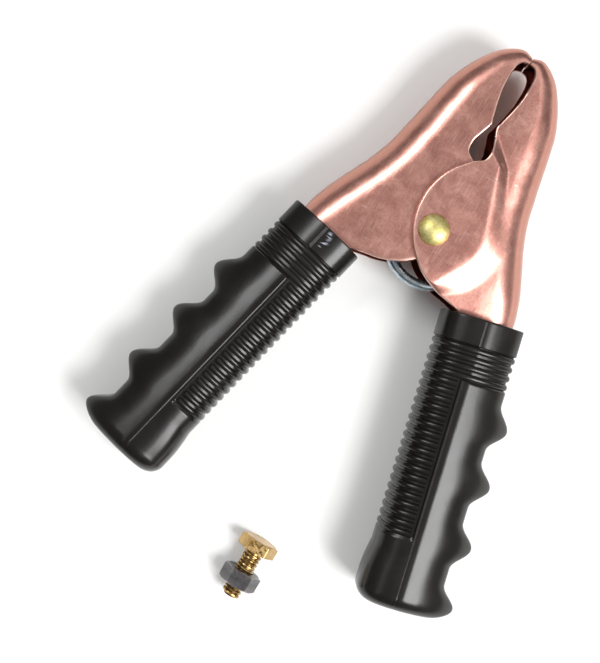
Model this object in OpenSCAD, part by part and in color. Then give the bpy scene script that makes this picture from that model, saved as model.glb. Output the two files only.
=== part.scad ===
// Spring ground clamp: two pressed jaw halves on a rivet, a torsion spring inside, slip-on grips and the
// loose terminal bolt with its nut.
// The origin is on the rivet axis, halfway between the ears. +Y points at the jaw tips, +X at the right
// half, whose ears lie outside, and +Z at the domed end of the rivet.

/* [Pressed jaws] */
// Thickness of the pressed sheet
sheet_t = 1.5; // [1.2:0.1:1.8]
// Height of a jaw half across its outer faces at the ears
jaw_height = 20; // [19.6:0.2:20.6]
// Gap between the two halves where their noses meet
nose_gap = 0.3; // [0.2:0.05:0.6]
// Clearance between the lapped ears
ear_clear = 0.3; // [0.25:0.05:0.5]
// Radius of the round edge of an ear
ear_r = 23; // [22:0.5:24]
// Number of gripping teeth on each nose
teeth = 5; // [3:1:6]
// Depth of a tooth notch
tooth_depth = 0.8; // [0.4:0.1:1.2]

/* [Pivot] */
// Diameter of the rivet shank
rivet_d = 6.2; // [5:0.1:7]
// Diameter of the rivet's domed head
rivet_head_d = 9.7; // [8.5:0.1:11]
// Height of the rivet's dome
rivet_dome = 2.1; // [1.5:0.1:2.6]
// Radial clearance between the shank and the ears
pivot_clear = 0.05; // [0.02:0.01:0.1]

/* [Spring] */
// Diameter of the spring wire
wire_d = 3; // [2:0.1:3.2]
// Outer diameter of the coil
coil_d = 28.4; // [26:0.2:30]
// Distance of the coil's centre from the rivet, towards the handles
coil_drop = 3.7; // [0:0.1:5]
// Distance of the coil's centre from the centre line, towards the right half
coil_shift = 2.4; // [0:0.1:3]
// Whole turns of the coil, besides the part turn between the legs
coil_turns = 3; // [2:1:3]

/* [Grips] */
// Length of a grip
grip_len = 94; // [90:1:98]
// Depth of a grip from top to bottom
grip_depth = 25.4; // [24.6:0.2:26.4]
// Width of a grip across its collar
grip_width = 26; // [25:0.2:27]
// Angle that each handle leans out from the centre line
handle_lean = 13.5; // [12:0.5:15]
// How far the crests of the finger lobes stand from the middle of the handle
lobe_reach = 17.9; // [16:0.1:19]
// How far the valleys between the lobes stand from the middle of the handle
valley_reach = 12.5; // [12.2:0.1:14]
// Clearance of a grip's socket round its handle
socket_clear = 0.4; // [0.35:0.05:0.6]

/* [Terminal] */
// Diameter of the terminal screw's thread
thread_d = 6.2; // [5:0.1:6.35]
// Length of the terminal screw under its head
bolt_len = 16.5; // [14:0.5:20]
// Width across the flats of the head and the nut
hex_af = 11.11; // [10:0.01:12]
// Height of the screw's head
head_h = 4; // [3.5:0.1:4.5]
// Height of the nut
nut_h = 5.56; // [5:0.01:6]
// Distance of the nut from the head
nut_run = 7; // [2:0.1:8]
// Diameter of the terminal hole in the left half
terminal_d = 6.8; // [6.5:0.1:7.2]

/* [Hidden] */
fine = 64;

// Ears and their step
half_h = jaw_height / 2;
ear_step = sheet_t + ear_clear;
ear_centre = [15, 7];
bore_r = rivet_d / 2 + pivot_clear;
bore_over = 2;

// Handles, each with a frame of its own: s runs back along the handle, t outwards across it
handle_root = [28.05, -15.7];
handle_dir = [sin(handle_lean), -cos(handle_lean)];
handle_out = [cos(handle_lean), sin(handle_lean)];
handle_inner = -9.2;
handle_outer = 10.1;
handle_half_h = 8.8;
handle_corner = 8;
handle_len = 80;
function handle_point(s, t) = handle_root + s * handle_dir + t * handle_out;

// Each row of a jaw half is a cut through the channel: spine x and y, edge x and y, half of the height
// and the radius of the bend between the wall and the spine.
nose_rows = [
    [nose_gap / 2, 61.6, nose_gap / 2, 59.2, 8.2, 2.2],
    [3.4, 62.8, 1.9, 58.7, 8.3, 3.9],
    [7.2, 61.5, 3, 57.2, 8.5, 5.2],
    [10.8, 58.7, 3.5, 54.7, 8.8, 6.2],
    [13.9, 54.7, 3.5, 51.4, 9.1, 7.2],
    [16.6, 50, 3.3, 48, 9.4, 7.8],
    [18.8, 45, 2.5, 43.8, 9.7, 8.4],
    [20.1, 40, 1.4, 39.2, 9.9, 8.8],
    [20.9, 36.5, 0.9, 37, half_h, 9],
    [21.6, 33.2, 2.1, 33.4, half_h, 9.2],
    [22.3, 30, 3.15, 29.8, half_h, 9.4],
    [22.9, 27.2, 2.5, 26.3, half_h, 9.5]
];
// Spine points beside the round edge of the ear
ear_spine = [[23.6, 24.4], [24.7, 19.5], [26.3, 14.5], [28.4, 9.5], [30.9, 4.5], [33.4, -0.5]];
ear_from = 133;
ear_pitch = 20;
ear_rows = [for (i = [0:len(ear_spine) - 1])
    let(a = ear_from + i * ear_pitch)
    concat(ear_spine[i], ear_centre + ear_r * [cos(a), sin(a)], [half_h, 9.5])
];
root_rows = [
    [35, -4, 5.3, -14, 9.8, 9.3],
    [36.2, -7.2, 10.3, -15.8, 9.5, 9],
    [37.2, -10.2, 14.8, -16.6, 9.2, 8.7]
];
handle_rows = [for (s = [0, 3, 30, handle_len])
    concat(handle_point(s, handle_outer), handle_point(s, handle_inner), [handle_half_h, handle_corner])
];
jaw_rows = concat(nose_rows, ear_rows, root_rows, handle_rows);
jaw_cuts_per_row = 2;
bend_steps = 4;
left_wall_steps = 3;
right_wall_steps = 7;
tooth_pitch = 2.3;
notch_half = 1.4;
notch_end_y = 64;
notch_len = 7;

// Step of the right ears: it starts at a round foot and is full within a round flat near the pivot, and
// two creases that meet in a V bound it towards the jaw
foot_from = [5, 0];
foot_to = [-8, 26];
foot_r = 17.3;
flat_middle = [0, 3];
flat_ends = [[-8, 26], [-12, -23.5]];
flat_r = 14.8;
foot_min_run = 3;
crease_top = [0.7, 37.2];
crease_top_normal = [-0.707, -0.707];
crease_base = [3.7, 28.8];
crease_base_normal = [-0.476, -0.879];
crease_min_run = 2.5;

// Spring
wire_r = wire_d / 2;
coil_r = coil_d / 2 - wire_r;
coil_pitch = wire_d + 0.1;
coil_centre = [coil_shift, -coil_drop];
leg_lean = 41;
leg_bend_s = 7.3;
leg_bend_t = 3.2;
leg_end_s = 50;
leg_end_t = 3.8;
coil_sweep = 360 * coil_turns + 180 - 2 * leg_lean;
coil_rise = coil_pitch * coil_sweep / 360;
coil_step = 20;
wire_sides = 8;

// Rivet
head_gap = 0.2;
head_seat = half_h + ear_step + head_gap;
head_edge = 0.3;
head_sphere_r = (pow(rivet_head_d / 2, 2) + pow(rivet_dome, 2)) / (2 * rivet_dome);
tail_r = 4.4;
tail_h = 1.3;
tail_dish_r = 2.2;
tail_dish_h = 0.6;
table_z = -(head_seat + tail_h);

// Grips
lobe_crests = [31.8, 50.4, 70.3, 90.4];
lobe_lead = 8;
lobe_trail = 6.8;
collar_reach = 13.3;
grip_pitch = 2.25;
grip_round = 5;
grip_sides = 24;
grip_power = 3;
heel_start = 76;
heel_run = 10;
heel_flare = 1.2;
socket_len = handle_len + 6;
socket_start = -1;

// Loose terminal screw, lying on a flat of its head and of its nut
hex_r = hex_af / 2 / cos(30);
bolt_x = 3.85;
bolt_y = -111.6;
bolt_z = table_z + hex_af / 2;
thread_clear = 0.05;
chamfer = 0.5;
terminal_at = [-21, -6];

function clamp01(u) = min(1, max(0, u));
function dist_to_segment(p, a, b) =
    let(u = clamp01(((p - a) * (b - a)) / ((b - a) * (b - a))))
    norm(p - a - u * (b - a));

// How far a point of the right half's walls is stepped outwards
function step_at(p) =
    let(
        inside = foot_r - dist_to_segment(p, foot_from, foot_to),
        off_flat = max(0, min([for (end = flat_ends) dist_to_segment(p, flat_middle, end)]) - flat_r),
        up_slope = clamp01(inside / max(inside + off_flat, foot_min_run)),
        below_top = (p - crease_top) * crease_top_normal,
        above_base = max(0, (crease_base - p) * crease_base_normal),
        down_crease = clamp01(below_top / max(below_top + above_base, crease_min_run))
    )
    ear_step * min(up_slope, down_crease);

// Catmull-Rom curve through rows of any length
function blend_rows(a, b, c, d, u) =
    0.5 * (2 * b + (c - a) * u + (2 * a - 5 * b + 4 * c - d) * u * u + (3 * b - a - 3 * c + d) * u * u * u);
function row_at(rows, i) = rows[max(0, min(len(rows) - 1, i))];
function refine(rows, parts) = concat(
    [for (i = [0:len(rows) - 2], k = [0:parts - 1])
        blend_rows(row_at(rows, i - 1), rows[i], rows[i + 1], row_at(rows, i + 2), k / parts)],
    [rows[len(rows) - 1]]
);

// Half of a cut through the channel, from the edge of the upper wall round to the middle of the spine.
// Each entry is the distance from the edge, the height, and how much of the ear's step it takes.
function upper_contour(width, height, bend, inset, wall_steps) = concat(
    [for (i = [0:wall_steps]) [(width - bend) * i / wall_steps, height - inset, 1]],
    [for (i = [1:bend_steps])
        let(a = 90 - 90 * i / bend_steps)
        [width - bend + (bend - inset) * cos(a), height - bend + (bend - inset) * sin(a), sin(a)]]
);
// The whole cut in space, with the lower wall mirrored from the upper one
function channel_cut(row, inset, wall_steps, stepped) =
    let(
        spine = [row[0], row[1]],
        edge = [row[2], row[3]],
        upper = upper_contour(norm(spine - edge), row[4], row[5], inset, wall_steps),
        count = len(upper)
    )
    [for (i = [0:2 * count - 1])
        let(
            is_upper = i < count,
            c = upper[is_upper ? i : 2 * count - 1 - i],
            p = edge + (spine - edge) * c[0] / norm(spine - edge),
            z = c[1] + (stepped ? step_at(p) * c[2] : 0)
        )
        [p[0], p[1], is_upper ? z : -z]];

// Closed strip of sheet between an outer and an inner skin, given as equal grids of points
module sheet_between(outer, inner) {
    n = len(outer);
    m = len(outer[0]);
    points = [for (skin = [outer, inner], ring = skin, p = ring) p];
    function at(skin, k, i) = skin * n * m + k * m + i;
    skins = [for (skin = [0, 1], k = [0:n - 2], i = [0:m - 2])
        let(
            a = at(skin, k, i),
            b = at(skin, k + 1, i),
            c = at(skin, k + 1, i + 1),
            d = at(skin, k, i + 1)
        )
        each skin == 0 ? [[a, b, c], [a, c, d]] : [[a, c, b], [a, d, c]]];
    edges = [for (k = [0:n - 2], i = [0, m - 1])
        let(a = at(0, k, i), b = at(0, k + 1, i), c = at(1, k + 1, i), d = at(1, k, i))
        each i == 0 ? [[a, c, b], [a, d, c]] : [[a, b, c], [a, c, d]]];
    ends = [for (k = [0, n - 1], i = [0:m - 2])
        let(a = at(0, k, i), b = at(0, k, i + 1), c = at(1, k, i + 1), d = at(1, k, i))
        each k == 0 ? [[a, b, c], [a, c, d]] : [[a, c, b], [a, d, c]]];
    polyhedron(points, concat(skins, edges, ends), convexity = 10);
}

// Closed solid through rings of equal length
module loft(rings) {
    n = len(rings);
    m = len(rings[0]);
    points = [for (ring = rings, p = ring) p];
    sides = [for (k = [0:n - 2], i = [0:m - 1])
        let(a = k * m + i, b = (k + 1) * m + i, c = (k + 1) * m + (i + 1) % m, d = k * m + (i + 1) % m)
        each [[a, b, c], [a, c, d]]];
    first = [for (i = [0:m - 1]) i];
    last = [for (i = [m - 1:-1:0]) (n - 1) * m + i];
    polyhedron(points, concat(sides, [first, last]), convexity = 6);
}

// Notches across the end of a nose
module nose_teeth() {
    notch_tip = nose_gap / 2 + tooth_depth;
    for (i = [0:teeth - 1])
        translate([0, notch_end_y, (i - (teeth - 1) / 2) * tooth_pitch])
            rotate([90, 0, 0])
                linear_extrude(height = notch_len)
                    polygon([[-1, -notch_half], [notch_tip, 0], [-1, notch_half]]);
}

// One pressed half, right-handed
module jaw_half(wall_steps, stepped) {
    cuts = refine(jaw_rows, jaw_cuts_per_row);
    difference() {
        sheet_between(
            [for (row = cuts) channel_cut(row, 0, wall_steps, stepped)],
            [for (row = cuts) channel_cut(row, sheet_t, wall_steps, stepped)]
        );
        cylinder(r = bore_r, h = 2 * (half_h + ear_step + bore_over), center = true, $fn = fine);
        nose_teeth();
    }
}

module left_jaw() {
    color("rosybrown")
        difference() {
            mirror([1, 0, 0]) jaw_half(left_wall_steps, false);
            translate([terminal_at[0], terminal_at[1], -half_h - bore_over])
                cylinder(d = terminal_d, h = sheet_t + 2 * bore_over, $fn = fine);
        }
}

module right_jaw() {
    color("darksalmon") jaw_half(right_wall_steps, true);
}

module pivot_rivet() {
    color("goldenrod")
        difference() {
            union() {
                translate([0, 0, -head_seat]) cylinder(d = rivet_d, h = 2 * head_seat, $fn = fine);
                translate([0, 0, head_seat]) cylinder(d = rivet_head_d, h = head_edge, $fn = fine);
                intersection() {
                    translate([0, 0, head_seat + head_edge + rivet_dome - head_sphere_r])
                        sphere(r = head_sphere_r, $fn = fine);
                    translate([0, 0, head_seat + head_edge])
                        cylinder(d = rivet_head_d, h = 2 * rivet_dome, $fn = fine);
                }
                translate([0, 0, table_z]) cylinder(r = tail_r, h = tail_h, $fn = fine);
            }
            translate([0, 0, table_z - tail_dish_h])
                cylinder(r = tail_dish_r, h = 2 * tail_dish_h, $fn = fine);
        }
}

// Route of the spring wire: right leg, coil, left leg
function coil_point(a) = [
    coil_centre[0] + coil_r * cos(a),
    coil_centre[1] + coil_r * sin(a),
    coil_rise * ((a - leg_lean) / coil_sweep - 0.5)
];
function leg_route(side) =
    let(
        z = side * -coil_rise / 2,
        bend = handle_point(leg_bend_s, leg_bend_t),
        end = handle_point(leg_end_s, leg_end_t)
    )
    [[side * bend[0], bend[1], z], [side * end[0], end[1], z]];
spring_route = concat(
    [leg_route(1)[1], leg_route(1)[0]],
    [for (a = [leg_lean:coil_step:leg_lean + coil_sweep]) coil_point(a)],
    [coil_point(leg_lean + coil_sweep)],
    leg_route(-1)
);
function unit(v) = v / norm(v);
function wire_ring(route, i) =
    let(
        before = route[max(0, i - 1)],
        after = route[min(len(route) - 1, i + 1)],
        along = unit(after - before),
        across = unit(cross(along, [0, 0, 1])),
        up = cross(across, along)
    )
    [for (k = [0:wire_sides - 1])
        let(a = -360 * k / wire_sides)
        route[i] + wire_r * (across * cos(a) + up * sin(a))];

module torsion_spring() {
    color("slategray") loft([for (i = [0:len(spring_route) - 1]) wire_ring(spring_route, i)]);
}

// Outer edge of a grip: a collar, then four lobes with hollows between them for the fingers
function lobe_rise(s, crest) =
    let(d = s - crest, run = d < 0 ? lobe_lead : lobe_trail)
    (1 + cos(180 * min(abs(d), run) / run)) / 2;
function grip_reach(s) =
    let(level = s < lobe_crests[0] ? collar_reach : valley_reach)
    level + (lobe_reach - level) * max([for (crest = lobe_crests) lobe_rise(s, crest)]);
function end_inset(s) =
    let(u = clamp01((s - grip_len + grip_round) / grip_round))
    grip_round * (1 - sqrt(1 - u * u));
function superellipse(a, power) =
    [sign(cos(a)) * pow(abs(cos(a)), 2 / power), sign(sin(a)) * pow(abs(sin(a)), 2 / power)];
function grip_ring(s) =
    let(
        inset = end_inset(s),
        reach_out = grip_reach(s) - inset,
        reach_in = grip_width / 2 + heel_flare * sin(90 * clamp01((s - heel_start) / heel_run)) - inset,
        half_depth = grip_depth / 2 - inset
    )
    [for (k = [0:grip_sides - 1])
        let(
            e = superellipse(360 * k / grip_sides, grip_power),
            t = e[0] * (e[0] > 0 ? reach_out : reach_in),
            p = handle_point(s, t)
        )
        [p[0], p[1], e[1] * half_depth]];
grip_stations = concat(
    [for (s = [0:grip_pitch:grip_len - grip_round]) s],
    [for (a = [15:25:90]) grip_len - grip_round + grip_round * sin(a)]
);

// Space for the handle inside a grip
module grip_socket() {
    wall_z = handle_half_h + socket_clear;
    inner_t = handle_inner - socket_clear;
    outer_t = handle_outer + socket_clear;
    bend = handle_corner + socket_clear;
    translate([handle_root[0], handle_root[1], 0])
        rotate([0, 0, handle_lean])
            translate([0, -socket_start, 0])
                rotate([90, 0, 0])
                    linear_extrude(height = socket_len - socket_start)
                        union() {
                            translate([inner_t, -wall_z]) square([outer_t - bend - inner_t, 2 * wall_z]);
                            translate([inner_t, -wall_z + bend])
                                square([outer_t - inner_t, 2 * (wall_z - bend)]);
                            for (side = [-1, 1])
                                translate([outer_t - bend, side * (wall_z - bend)])
                                    circle(r = bend, $fn = fine);
                        }
}

module grip() {
    difference() {
        loft([for (s = grip_stations) grip_ring(s)]);
        grip_socket();
    }
}

module left_grip() {
    color("dimgray") mirror([1, 0, 0]) grip();
}

module right_grip() {
    color("darkslategray") grip();
}

// Hexagon prism along -Y with one flat down, its face at the origin
module hex_along(height) {
    rotate([90, 0, 0]) cylinder(r = hex_r, h = height, $fn = 6);
}

module terminal_bolt() {
    color("gold")
        translate([bolt_x, bolt_y, bolt_z]) {
            hex_along(head_h);
            translate([0, -head_h, 0])
                rotate([90, 0, 0])
                    cylinder(d = thread_d, h = bolt_len - chamfer, $fn = fine);
            translate([0, -head_h - bolt_len + chamfer, 0])
                rotate([90, 0, 0])
                    cylinder(r1 = thread_d / 2, r2 = thread_d / 2 - chamfer, h = chamfer, $fn = fine);
        }
}

module terminal_nut() {
    color("gray")
        translate([bolt_x, bolt_y - head_h - nut_run, bolt_z])
            difference() {
                hex_along(nut_h);
                translate([0, bore_over, 0])
                    rotate([90, 0, 0])
                        cylinder(r = thread_d / 2 + thread_clear, h = nut_h + 2 * bore_over, $fn = fine);
            }
}

left_jaw();
right_jaw();
pivot_rivet();
torsion_spring();
left_grip();
right_grip();
terminal_bolt();
terminal_nut();
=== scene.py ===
import math
import bpy
import bmesh
from mathutils import Matrix, Vector


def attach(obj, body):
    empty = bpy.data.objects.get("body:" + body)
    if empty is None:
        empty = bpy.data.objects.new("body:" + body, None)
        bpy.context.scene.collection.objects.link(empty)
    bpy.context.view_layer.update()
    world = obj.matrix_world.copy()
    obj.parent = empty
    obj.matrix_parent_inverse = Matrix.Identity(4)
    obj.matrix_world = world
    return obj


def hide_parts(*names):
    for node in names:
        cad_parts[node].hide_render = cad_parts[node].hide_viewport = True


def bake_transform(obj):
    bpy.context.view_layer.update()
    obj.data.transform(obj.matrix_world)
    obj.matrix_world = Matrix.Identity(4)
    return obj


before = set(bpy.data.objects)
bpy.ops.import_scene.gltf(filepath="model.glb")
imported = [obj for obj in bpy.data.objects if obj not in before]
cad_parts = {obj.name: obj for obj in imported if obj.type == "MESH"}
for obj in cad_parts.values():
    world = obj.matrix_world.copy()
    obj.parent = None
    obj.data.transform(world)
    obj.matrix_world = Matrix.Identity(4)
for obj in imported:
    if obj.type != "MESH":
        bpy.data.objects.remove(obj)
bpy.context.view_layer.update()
mm = 0.001
print("frame loaded")

# small helpers


def cosDeg(a):
    return math.cos(math.radians(a))


def sinDeg(a):
    return math.sin(math.radians(a))


def clampUnit(u):
    return min(1.0, max(0.0, u))


def smoothUnit(u):
    u = clampUnit(u)
    return u * u * (3 - 2 * u)


def catmullRom(a, b, c, d, u):
    return [0.5 * (2 * q + (r - p) * u + (2 * p - 5 * q + 4 * r - s) * u * u + (3 * q - p - 3 * r + s) * u ** 3)
            for p, q, r, s in zip(a, b, c, d)]


def refineRows(rows, parts):
    last = len(rows) - 1
    fine = []
    for i in range(last):
        for k in range(parts):
            fine.append(catmullRom(rows[max(0, i - 1)], rows[i], rows[i + 1], rows[min(last, i + 2)], k / parts))
    fine.append(list(rows[last]))
    return fine


def roundRing(radius, sides):
    return [(radius * cosDeg(360 * i / sides), radius * sinDeg(360 * i / sides)) for i in range(sides)]


def addObject(name, data):
    made = bpy.data.objects.new(name, data)
    bpy.context.scene.collection.objects.link(made)
    return made


def setValues(mesh, key, numbers):
    mesh.attributes.new(key, "FLOAT", "POINT").data.foreach_set("value", numbers)


def shadeSmooth(mesh):
    mesh.polygons.foreach_set("use_smooth", [True] * len(mesh.polygons))


def newPiece(name, points, faces, smooth=True, values=None):
    # points in millimetres, values one dictionary of numbers per point
    mesh = bpy.data.meshes.new(name)
    mesh.from_pydata([tuple(c * mm for c in p) for p in points], [], faces)
    for key, numbers in (values or {}).items():
        setValues(mesh, key, numbers)
    if smooth:
        shadeSmooth(mesh)
    mesh.update()
    return addObject(name, mesh)


def faceOutwards(piece, merge=False):
    # every face turns outwards; points at one place can be merged first
    shape = bmesh.new()
    shape.from_mesh(piece.data)
    if merge:
        bmesh.ops.remove_doubles(shape, verts=shape.verts, dist=1e-7)
    bmesh.ops.recalc_face_normals(shape, faces=shape.faces)
    shape.to_mesh(piece.data)
    shape.free()
    return piece


def pointOutwards(piece):
    return faceOutwards(piece, True)


def sharpenEdges(piece, angle):
    # faces stay smooth but break at edges steeper than the angle
    shape = bmesh.new()
    shape.from_mesh(piece.data)
    for edge in shape.edges:
        if len(edge.link_faces) == 2 and edge.calc_face_angle(0) > math.radians(angle):
            edge.smooth = False
    shape.to_mesh(piece.data)
    shape.free()
    return piece


def loftRings(rings, capFirst=True, capLast=True):
    # closed rings of equal length become points and faces
    count = len(rings[0])
    points = [p for ring in rings for p in ring]
    faces = []
    for k in range(len(rings) - 1):
        for i in range(count):
            j = (i + 1) % count
            faces.append((k * count + i, (k + 1) * count + i, (k + 1) * count + j, k * count + j))
    if capFirst:
        faces.append(tuple(range(count)))
    if capLast:
        faces.append(tuple((len(rings) - 1) * count + i for i in reversed(range(count))))
    return points, faces


def bakeModifiers(piece):
    # the evaluated shape becomes the piece's own plain mesh
    view = bpy.context.evaluated_depsgraph_get()
    view.update()
    mesh = bpy.data.meshes.new_from_object(piece.evaluated_get(view), preserve_all_data_layers=True, depsgraph=view)
    old = piece.data
    piece.modifiers.clear()
    piece.data = mesh
    if old.users == 0:
        bpy.data.meshes.remove(old)
    return piece


def cutWith(piece, cutters):
    for cutter in cutters:
        change = piece.modifiers.new("cut", "BOOLEAN")
        change.operation = "DIFFERENCE"
        change.solver = "EXACT"
        change.object = cutter
    bakeModifiers(piece)
    for cutter in cutters:
        bpy.data.objects.remove(cutter)
    return piece


def joinPieces(name, pieces):
    # copies of several meshes become one piece, keeping each one's material
    shape = bmesh.new()
    slots = []
    for piece in pieces:
        first = len(shape.faces)
        shape.from_mesh(piece.data)
        shape.faces.ensure_lookup_table()
        material = piece.data.materials[0] if piece.data.materials else None
        if material not in slots:
            slots.append(material)
        for face in list(shape.faces)[first:]:
            face.material_index = slots.index(material)
    mesh = bpy.data.meshes.new(name)
    shape.to_mesh(mesh)
    shape.free()
    for material in slots:
        mesh.materials.append(material)
    for piece in pieces:
        bpy.data.objects.remove(piece)
    return addObject(name, mesh)


# shader expressions


class ShaderValue:
    # wraps a socket, so that an expression on values adds its Math nodes

    def __init__(self, tree, socket=None):
        self.tree = tree
        self.socket = socket

    def node(self, kind, settings=None, sockets=None, output=0):
        made = self.tree.nodes.new(kind)
        for key, value in (settings or {}).items():
            setattr(made, key, value)
        for key, value in (sockets or {}).items():
            if isinstance(value, ShaderValue):
                self.tree.links.new(value.socket, made.inputs[key])
            else:
                made.inputs[key].default_value = value
        return ShaderValue(self.tree, made.outputs[output])

    def maths(self, operation, first, second):
        return self.node("ShaderNodeMath", {"operation": operation}, {0: first, 1: second})

    def __add__(self, other):
        return self.maths("ADD", self, other)

    def __radd__(self, other):
        return self.maths("ADD", other, self)

    def __sub__(self, other):
        return self.maths("SUBTRACT", self, other)

    def __rsub__(self, other):
        return self.maths("SUBTRACT", other, self)

    def __mul__(self, other):
        return self.maths("MULTIPLY", self, other)

    def __rmul__(self, other):
        return self.maths("MULTIPLY", other, self)

    def above(self, low, high):
        # 0 below low, 1 above high, smooth between
        return self.node("ShaderNodeMapRange", {"interpolation_type": "SMOOTHSTEP"},
                         {"Value": self, "From Min": low, "From Max": high, "To Min": 0.0, "To Max": 1.0})


class Finish:
    # one material with its Principled shader

    def __init__(self, name, fixed):
        self.material = bpy.data.materials.new(name)
        self.material.use_nodes = True
        self.tree = self.material.node_tree
        self.shader = self.tree.nodes["Principled BSDF"]
        for key, value in fixed.items():
            self.shader.inputs[key].default_value = value
        self.start = ShaderValue(self.tree)
        self.place = self.start.node("ShaderNodeTexCoord", output="Object")

    def attribute(self, name):
        return self.start.node("ShaderNodeAttribute", {"attribute_name": name}, output="Fac")

    def stretched(self, scale, turn=(0, 0, 0)):
        return self.start.node("ShaderNodeMapping", {}, {"Vector": self.place, "Scale": scale, "Rotation": turn})

    def noise(self, place, scale, detail=3.0, rough=0.55, warp=0.0):
        return self.start.node("ShaderNodeTexNoise", {},
                               {"Vector": place, "Scale": scale, "Detail": detail, "Roughness": rough,
                                "Distortion": warp})

    def blend(self, factor, first, second):
        # sockets 6 and 7 are the node's two colours; a plain colour is a tuple
        first, second = (solid(*c) if isinstance(c, tuple) else c for c in (first, second))
        return self.start.node("ShaderNodeMix", {"data_type": "RGBA", "clamp_factor": True},
                               {0: factor, 6: first, 7: second}, output=2)

    def bump(self, height, strength, distance):
        return self.start.node("ShaderNodeBump", {}, {"Height": height, "Strength": strength, "Distance": distance})

    def wear(self, key, value):
        self.tree.links.new(value.socket, self.shader.inputs[key])


def solid(r, g, b):
    return (r, g, b, 1.0)


print("helpers ready")

# materials

# inside and bend are painted shade: inside darkens the sheet's inner faces, bend darkens the outer face across each
# bend toward the sides
copperLook = {"flat": (0.76, 0.36, 0.30), "pale": (0.97, 0.62, 0.50), "dark": (0.56, 0.225, 0.18),
              "inside": (0.16, 0.030, 0.022), "edge": (0.94, 0.66, 0.55), "bend": (0.40, 0.185, 0.135),
              "roughness": 0.27}


def makeCopper():
    look = copperLook
    finish = Finish("satinCopper", {"Metallic": 1.0, "Roughness": look["roughness"]})
    along = finish.stretched((1.0, 0.10, 1.0))
    across = finish.stretched((0.12, 1.0, 1.0), (0, 0, 0.5))
    blotch = finish.noise(finish.place, 150.0, 5.0, 0.62, 0.4)
    grain = finish.noise(finish.place, 1500.0, 3.0, 0.7)
    speckle = finish.noise(finish.place, 620.0, 4.0, 0.75)
    brushing = finish.noise(along, 1900.0, 2.0, 0.6)
    scratch = finish.noise(across, 2300.0, 1.0, 0.5)
    innerShade = finish.attribute("innerShade")
    rim = finish.attribute("rim")
    bend = finish.attribute("bend")
    tone = finish.blend(blotch.above(0.34, 0.66), look["dark"], look["pale"])
    tone = finish.blend(0.80, tone, look["flat"])
    tone = finish.blend(grain.above(0.46, 0.66) * 0.50, tone, look["dark"])
    tone = finish.blend(speckle.above(0.56, 0.78) * 0.16, tone, look["dark"])
    tone = finish.blend(brushing.above(0.52, 0.72) * 0.45, tone, look["pale"])
    tone = finish.blend(scratch.above(0.68, 0.76) * 0.45, tone, look["edge"])
    # painted shade: the outer face darkens across each bend toward the sides, standing in for the darker reflection
    # there
    tone = finish.blend(bend.above(0.30, 0.62) * 0.85, tone, look["bend"])
    # painted shade: the sheet's inner faces, where the channels lie in shade, take the near-black inside colour
    tone = finish.blend(innerShade, tone, look["inside"])
    tone = finish.blend(rim * (0.25 + 0.5 * grain), tone, look["edge"])
    finish.wear("Base Color", tone)
    finish.wear("Roughness", look["roughness"] - 0.09 + 0.16 * blotch + 0.10 * speckle + 0.12 * innerShade)
    height = 0.6 * grain + 0.9 * brushing + 0.25 * speckle + 1.2 * (1.0 - scratch.above(0.68, 0.74))
    finish.wear("Normal", finish.bump(height, 0.16, 0.00005))
    return finish.material


gripLook = {"black": (0.0070, 0.0058, 0.0050), "dusty": (0.018, 0.016, 0.0145), "scuff": (0.42, 0.44, 0.52),
            "roughness": 0.21, "shine": 0.37}


def makeGripPvc():
    look = gripLook
    finish = Finish("blackPvc", {"Roughness": look["roughness"], "Specular IOR Level": look["shine"]})
    cloud = finish.noise(finish.place, 55.0, 4.0, 0.6, 0.4)
    grain = finish.noise(finish.place, 1700.0, 3.0, 0.6)
    handling = finish.noise(finish.stretched((1.0, 0.25, 1.0)), 420.0, 3.0, 0.6)
    scuff = finish.attribute("scuff")
    scratches = finish.noise(finish.stretched((0.2, 1.0, 1.0), (0, 0, -0.6)), 800.0, 2.0, 0.6).above(0.50, 0.60)
    mark = scuff * scratches
    tone = finish.blend(cloud.above(0.40, 0.75) * 0.5, look["black"], look["dusty"])
    tone = finish.blend(handling.above(0.62, 0.80) * 0.25, tone, look["dusty"])
    tone = finish.blend(mark, tone, look["scuff"])
    finish.wear("Base Color", tone)
    finish.wear("Roughness", look["roughness"] - 0.06 + 0.10 * cloud + 0.08 * handling + 0.2 * mark)
    finish.wear("Normal", finish.bump(grain + 1.5 * handling + 2.0 * mark, 0.16, 0.00006))
    return finish.material


zincLook = {"steel": (0.30, 0.37, 0.43), "bright": (0.62, 0.68, 0.72), "dark": (0.10, 0.12, 0.15),
            "roughness": 0.24}


def makeZinc():
    look = zincLook
    finish = Finish("zincWire", {"Metallic": 1.0, "Roughness": look["roughness"]})
    cloud = finish.noise(finish.place, 240.0, 4.0, 0.6)
    drawn = finish.noise(finish.stretched((1.0, 1.0, 0.2)), 1500.0, 3.0, 0.6)
    spot = finish.noise(finish.place, 900.0, 3.0, 0.7)
    tone = finish.blend(cloud.above(0.35, 0.65), look["steel"], look["bright"])
    tone = finish.blend(spot.above(0.60, 0.76) * 0.6, tone, look["dark"])
    finish.wear("Base Color", tone)
    finish.wear("Roughness", look["roughness"] - 0.04 + 0.10 * drawn + 0.06 * spot)
    finish.wear("Normal", finish.bump(drawn + spot, 0.15, 0.00005))
    return finish.material


rivetLook = {"brass": (0.60, 0.52, 0.17), "pale": (0.80, 0.72, 0.34), "dark": (0.26, 0.23, 0.06),
             "roughness": 0.44}


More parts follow.
